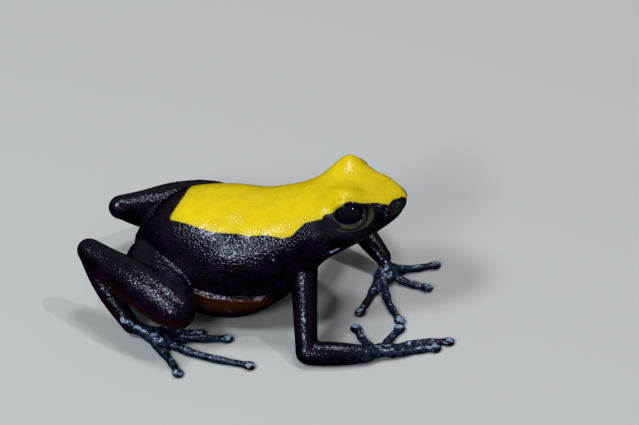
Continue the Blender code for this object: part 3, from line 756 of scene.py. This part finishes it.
skinLook = {
    "yellow": (0.74, 0.535, 0.0, 1), "yellowDeep": (0.68, 0.475, 0.0, 1), "greenish": (0.40, 0.38, 0.01, 1),
    "black": (0.0020, 0.0005, 0.0022, 1), "purple": (0.0060, 0.0012, 0.0090, 1),
    # brown and olive are painted reflections of a warm yellow ground, under the flanks and legs and round the
    # eyes, lip and snout
    "warmReflection": (0.042, 0.009, 0.0012, 1), "oliveReflection": (0.060, 0.064, 0.022, 1),
    # blue is the pale blue of the digits' spots and also the colour of painted highlights on digits, palms,
    # insteps, snout and jaw glands
    "blue": (0.23, 0.31, 0.43, 1), "blueDark": (0.012, 0.022, 0.050, 1),
    "edgeWaver": 0.22, "blueWaver": 2.4,     # how much the noise moves the edges of yellow and blue
    # ranges of noise and markings over which one colour or roughness passes into the next
    "toYellow": (-0.05, 0.07), "toRim": (0.55, 0.0), "rimStrength": 0.35, "toDeep": (0.35, 0.7),
    "toPurple": (0.42, 0.68), "toTinged": (0.35, 0.6), "toBlue": (0.6, 1.0), "toRough": (0.3, 0.7),
    # roughness of the wet skin, what the noise takes and adds, and what dry and yellow places add
    "roughness": 0.155, "smoother": 0.05, "rougher": 0.08, "dryness": 0.78, "yellowRougher": 0.05,
    "grain": 0.21, "grainStrength": 0.9, "grainDepth": 0.00003, "yellowGrain": 0.65,
    "waterIor": 1.42, "wetTint": (0.78, 0.82, 1.0, 1),
}


def nodeMaker(tree):
    # Shorthand for adding a node with its values and links.
    def add(kind, values=None, links=None, **settings):
        node = tree.nodes.new(kind)
        for key, value in settings.items():
            setattr(node, key, value)
        for key, value in (values or {}).items():
            node.inputs[key].default_value = value
        for key, source in (links or {}).items():
            tree.links.new(source, node.inputs[key])
        return node
    return add


def attribute(add, name):
    return add("ShaderNodeAttribute", attribute_name=name).outputs["Fac"]


def mixed(add, share, low, high):
    # A colour between two, each given as a colour or as a node's output.
    node = add("ShaderNodeMix", data_type="RGBA", links={"Factor": share})
    for socket, value in ((node.inputs[6], low), (node.inputs[7], high)):
        if isinstance(value, tuple):
            socket.default_value = value
        else:
            node.id_data.links.new(value, socket)
    return node.outputs[2]


def ranged(add, value, low, high, toLow=0.0, toHigh=1.0):
    # A value carried smoothly from one range to another.
    node = add("ShaderNodeMapRange", {1: low, 2: high, 3: toLow, 4: toHigh}, {0: value},
               interpolation_type="SMOOTHSTEP")
    return node.outputs[0]


def counted(add, kind, a, b):
    # A sum, difference or product of two values or outputs.
    node = add("ShaderNodeMath", operation=kind)
    for socket, value in ((node.inputs[0], a), (node.inputs[1], b)):
        if isinstance(value, (int, float)):
            socket.default_value = value
        else:
            node.id_data.links.new(value, socket)
    return node.outputs[0]


grainShape = {
    # scale and detail of each noise, per mm
    "Fine": (9.0, 2.0), "Patchy": (2.6, 2.0), "Mottle": (0.9, 3.0),
    # the cells of the grain, and how much of cells and fine noise is in its height
    "smoothness": 0.6, "bumps": (0.75, 0.1), "bumpShare": 0.8, "fineShare": 0.25,
}


def makeGrain():
    # Height of a wet, finely grained skin, and a slow mottle for its colour.
    group = bpy.data.node_groups.new("wetGrain", "ShaderNodeTree")
    for name in ("Height", "Mottle", "Fine", "Patchy"):
        group.interface.new_socket(name, in_out="OUTPUT", socket_type="NodeSocketFloat")
    size = group.interface.new_socket("Size", in_out="INPUT", socket_type="NodeSocketFloat")
    size.default_value = skinLook["grain"]
    add = nodeMaker(group)
    inputs = add("NodeGroupInput")
    outputs = add("NodeGroupOutput")
    place = add("ShaderNodeTexCoord").outputs["Object"]
    inMm = add("ShaderNodeVectorMath", {1: (1000, 1000, 1000)}, {0: place}, operation="MULTIPLY").outputs[0]
    scaled = add("ShaderNodeVectorMath", {}, {0: inMm, 1: inputs.outputs[0]}, operation="DIVIDE").outputs[0]
    cells = add("ShaderNodeTexVoronoi", {"Scale": 1.0, "Smoothness": grainShape["smoothness"]},
                {"Vector": scaled}, feature="SMOOTH_F1").outputs["Distance"]
    bumps = ranged(add, cells, *grainShape["bumps"])
    noises = {}
    for name in ("Fine", "Patchy", "Mottle"):
        scale, detail = grainShape[name]
        noise = add("ShaderNodeTexNoise", {"Scale": scale, "Detail": detail}, {"Vector": inMm})
        noises[name] = noise.outputs["Fac"]
        group.links.new(noises[name], outputs.inputs[name])
    height = counted(add, "ADD", counted(add, "MULTIPLY", bumps, grainShape["bumpShare"]),
                     counted(add, "MULTIPLY", noises["Fine"], grainShape["fineShare"]))
    group.links.new(height, outputs.inputs["Height"])
    return group


def skinMaterial(grain):
    skin = bpy.data.materials.new("wetFrogSkin")
    skin.use_nodes = True
    tree = skin.node_tree
    add = nodeMaker(tree)
    shader = tree.nodes["Principled BSDF"]
    texture = add("ShaderNodeGroup", node_tree=grain)
    mottle, fine, patchy = (texture.outputs[name] for name in ("Mottle", "Fine", "Patchy"))
    edge = counted(add, "ADD", attribute(add, "yellow"),
                   counted(add, "MULTIPLY", counted(add, "SUBTRACT", fine, 0.5), skinLook["edgeWaver"]))
    onYellow = ranged(add, edge, *skinLook["toYellow"])
    rim = ranged(add, edge, *skinLook["toRim"])
    black = mixed(add, ranged(add, mottle, *skinLook["toPurple"]), skinLook["black"], skinLook["purple"])
    # brown painted under the flanks and hind legs as the reflection of a warm ground
    black = mixed(add, attribute(add, "warmReflection"), black, skinLook["warmReflection"])
    # pale-blue spots, with painted highlights on digits, palms, insteps, snout and jaw glands
    dotted = counted(add, "ADD", attribute(add, "blue"),
                     counted(add, "MULTIPLY", counted(add, "SUBTRACT", patchy, 0.5), skinLook["blueWaver"]))
    tinged = counted(add, "MULTIPLY", attribute(add, "distal"), ranged(add, patchy, *skinLook["toTinged"]))
    distal = mixed(add, tinged, black, skinLook["blueDark"])
    black = mixed(add, ranged(add, dotted, *skinLook["toBlue"]), distal, skinLook["blue"])
    yellow = mixed(add, ranged(add, mottle, *skinLook["toDeep"]), skinLook["yellow"], skinLook["yellowDeep"])
    yellow = mixed(add, counted(add, "MULTIPLY", rim, skinLook["rimStrength"]), yellow, skinLook["greenish"])
    colour = mixed(add, onYellow, black, yellow)
    # olive painted as a reflection round the eyes, on the lower lip and on the snout
    colour = mixed(add, attribute(add, "oliveReflection"), colour, skinLook["oliveReflection"])
    tree.links.new(colour, shader.inputs["Base Color"])
    smooth = skinLook["roughness"] - skinLook["smoother"]
    rough = ranged(add, fine, *skinLook["toRough"], smooth, skinLook["roughness"] + skinLook["rougher"])
    rough = counted(add, "ADD", rough, counted(add, "MULTIPLY", attribute(add, "dry"), skinLook["dryness"]))
    rough = counted(add, "ADD", rough, counted(add, "MULTIPLY", onYellow, skinLook["yellowRougher"]))
    tree.links.new(rough, shader.inputs["Roughness"])
    shader.inputs["IOR"].default_value = skinLook["waterIor"]
    shader.inputs["Specular Tint"].default_value = skinLook["wetTint"]
    softer = ranged(add, onYellow, 0, 1, 1, skinLook["yellowGrain"])
    height = counted(add, "MULTIPLY", texture.outputs["Height"], softer)
    bump = add("ShaderNodeBump", {"Strength": skinLook["grainStrength"], "Distance": skinLook["grainDepth"]},
               {"Height": height})
    tree.links.new(bump.outputs[0], shader.inputs["Normal"])
    return skin


eyeLook = {
    "iris": (0.0014, 0.0016, 0.009, 1), "fleck": (0.0038, 0.0050, 0.024, 1), "fleckScale": 4000.0,
    "fleckDetail": 3.0, "toFleck": (0.4, 0.75),
    "pupil": (0.0005, 0.0005, 0.0015, 1), "roughness": 0.05, "ior": 1.4,
}


def eyeMaterial():
    wet = bpy.data.materials.new("wetEye")
    wet.use_nodes = True
    tree = wet.node_tree
    add = nodeMaker(tree)
    shader = tree.nodes["Principled BSDF"]
    place = add("ShaderNodeTexCoord").outputs["Object"]
    noise = add("ShaderNodeTexNoise", {"Scale": eyeLook["fleckScale"], "Detail": eyeLook["fleckDetail"]},
                {"Vector": place})
    flecks = ranged(add, noise.outputs["Fac"], *eyeLook["toFleck"])
    iris = mixed(add, flecks, eyeLook["iris"], eyeLook["fleck"])
    colour = mixed(add, attribute(add, "pupil"), iris, eyeLook["pupil"])
    tree.links.new(colour, shader.inputs["Base Color"])
    shader.inputs["Roughness"].default_value = eyeLook["roughness"]
    shader.inputs["IOR"].default_value = eyeLook["ior"]
    return wet


def makeEye(side, name, material):
    middle, look, fore, up = eyeFrame(side)
    mesh = bmesh.new()
    turn = Matrix((Vector(fore), Vector(up), Vector(look))).transposed().to_4x4()
    place = Matrix.Translation(Vector(middle)) @ turn
    bmesh.ops.create_uvsphere(mesh, u_segments=eyes["sides"], v_segments=eyes["rings"],
                              radius=eyes["radius"], matrix=place)
    eye = newObject(name, mesh)
    to = (readPoints(eye) - middle) / eyes["radius"]
    outward = to @ look
    oval = np.hypot(to @ fore / eyes["pupil"][0], to @ up / eyes["pupil"][1])
    addAttribute(eye, "pupil", (1 - eased(oval, *eyes["pupilEdge"])) * (outward > 0))
    eye.data.materials.append(material)
    eye.data.shade_smooth()
    return eye


def toRow(obj, shift):
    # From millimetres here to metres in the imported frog's place.
    points = (readPoints(obj) + np.array(shift)) * mm
    writePoints(obj, points)


studio = {
    "target": (3.87, 5.60, 6.44), "eye": (51.81, -219.93, 173.95), "lens": 176.6, "clip": 0.01,
    "floor": (0.50, 0.495, 0.48, 1), "floorRoughness": 0.7, "floorSize": 2.0,
    "world": (0.90, 0.95, 1.0, 1), "worldStrength": 0.16, "horizon": (-0.1, 0.5),
    "lit": (0, 0, 0.006),     # what the lights point at, in metres
    # direction, distance, size, power and colour of each light
    "key": ((0.05, 0.2, 0.98), 0.5, 0.11, 0.72, (0.93, 0.96, 1.0)),
    "left": ((-0.41, -0.42, 0.81), 0.5, 0.11, 1.2, (0.86, 0.93, 1.0)),
    "right": ((0.447, 0.03, 0.892), 0.5, 0.03, 0.4, (0.95, 0.98, 1.0)),
    "front": ((-0.19, -0.82, 0.54), 0.5, 0.105, 0.9, (0.82, 0.91, 1.0)),
}


def addLight(name, direction, distance, size, power, colour, spared=None):
    # A round soft light, kept off the pieces of the spared collection.
    data = bpy.data.lights.new(name, "AREA")
    data.shape = "DISK"
    data.size = size
    data.energy = power
    data.color = colour
    light = bpy.data.objects.new(name, data)
    to = Vector(direction).normalized()
    light.location = to * distance + Vector(studio["lit"])
    light.rotation_euler = to.to_track_quat("Z", "Y").to_euler()
    light.light_linking.receiver_collection = spared
    bpy.context.scene.collection.objects.link(light)


def makeStudio(shift, eyePieces):
    # The floor, a faint sky, four soft lights and the camera.
    mesh = bmesh.new()
    bmesh.ops.create_grid(mesh, x_segments=2, y_segments=2, size=studio["floorSize"])
    floor = newObject("floor", mesh)
    pale = bpy.data.materials.new("paleFloor")
    pale.use_nodes = True
    shader = pale.node_tree.nodes["Principled BSDF"]
    shader.inputs["Base Color"].default_value = studio["floor"]
    shader.inputs["Roughness"].default_value = studio["floorRoughness"]
    floor.data.materials.append(pale)
    floor.visible_glossy = False       # keeps the floor's paleness out of the wet black skin
    scene = bpy.context.scene
    scene.view_settings.view_transform = "Standard"
    world = bpy.data.worlds.new("softStudio")
    world.use_nodes = True
    add = nodeMaker(world.node_tree)
    sky = world.node_tree.nodes["Background"]
    sky.inputs["Color"].default_value = studio["world"]
    to = add("ShaderNodeTexCoord").outputs["Generated"]
    height = add("ShaderNodeSeparateXYZ", {}, {0: to}).outputs["Z"]
    # dark below the horizon
    strength = ranged(add, height, *studio["horizon"], 0.0, studio["worldStrength"])
    world.node_tree.links.new(strength, sky.inputs["Strength"])
    scene.world = world
    # one clear highlight in each eye: the broad lights leave them out
    eyesApart = bpy.data.collections.new("eyesApart")
    for number, piece in enumerate(eyePieces):
        eyesApart.objects.link(piece)
        eyesApart.collection_objects[number].light_linking.link_state = "EXCLUDE"
    addLight("keyLight", *studio["key"], eyesApart)
    addLight("leftLight", *studio["left"], eyesApart)
    addLight("frontLight", *studio["front"], eyesApart)
    addLight("rightLight", *studio["right"])
    camera = bpy.data.objects.new("camera", bpy.data.cameras.new("camera"))
    camera.data.lens = studio["lens"]
    camera.data.clip_start = studio["clip"]
    eye, target = ((Vector(studio[key]) + shift) * mm for key in ("eye", "target"))
    camera.location = eye
    camera.rotation_euler = (eye - target).to_track_quat("Z", "Y").to_euler()
    scene.collection.objects.link(camera)
    scene.camera = camera
    print("studio: floor, four lights and the camera")


def rowShift():
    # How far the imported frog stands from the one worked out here, in millimetres.
    middles = []
    for name in ("eye_left", "eye_right"):
        low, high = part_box(name)
        middles.append((Vector(low) + Vector(high)) / 2 / mm)
    x, y, z = eyes["at"]
    here = (turnHead((x, y, z)) + turnHead((x, -y, z))) / 2
    return (middles[0] + middles[1]) / 2 - here


shift = rowShift()
print("shift in mm:", [round(value, 3) for value in shift])
skin = makeSkin()
oliveReflection, inside = sculptHead(skin)
sculptBody(skin)

points = readPoints(skin)
level = levelled(points)
normals = readPoints(skin, "normal")
addAttribute(skin, "yellow", yellowEdge(level))
# blue holds spots and painted highlights; brown and olive hold painted reflections
addAttribute(skin, "blue", paleBlueAndHighlightAreas(points, level))
addAttribute(skin, "distal", tingedAreas(points))
addAttribute(skin, "warmReflection", warmReflectionAreas(points, level, normals))
addAttribute(skin, "dry", dryAreas(level))
addAttribute(skin, "oliveReflection", oliveReflectionAreas(level, oliveReflection) * (1 - inside))
print("markings: yellow, blue, brown and olive")

grain = makeGrain()
skin.data.materials.append(skinMaterial(grain))
skin.data.shade_smooth()
toRow(skin, shift)
eyePieces = [makeEye(side, name, eyeMaterial())
             for side, name in ((1, "eyeBallLeft"), (-1, "eyeBallRight"))]
for piece in eyePieces:
    toRow(piece, shift)
    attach(piece, "root")
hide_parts("eye_left")
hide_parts("eye_right")
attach(skin, "root")
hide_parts(*[name for name in frame["nodes"] if not name.startswith("eye")])
makeStudio(shift, eyePieces)
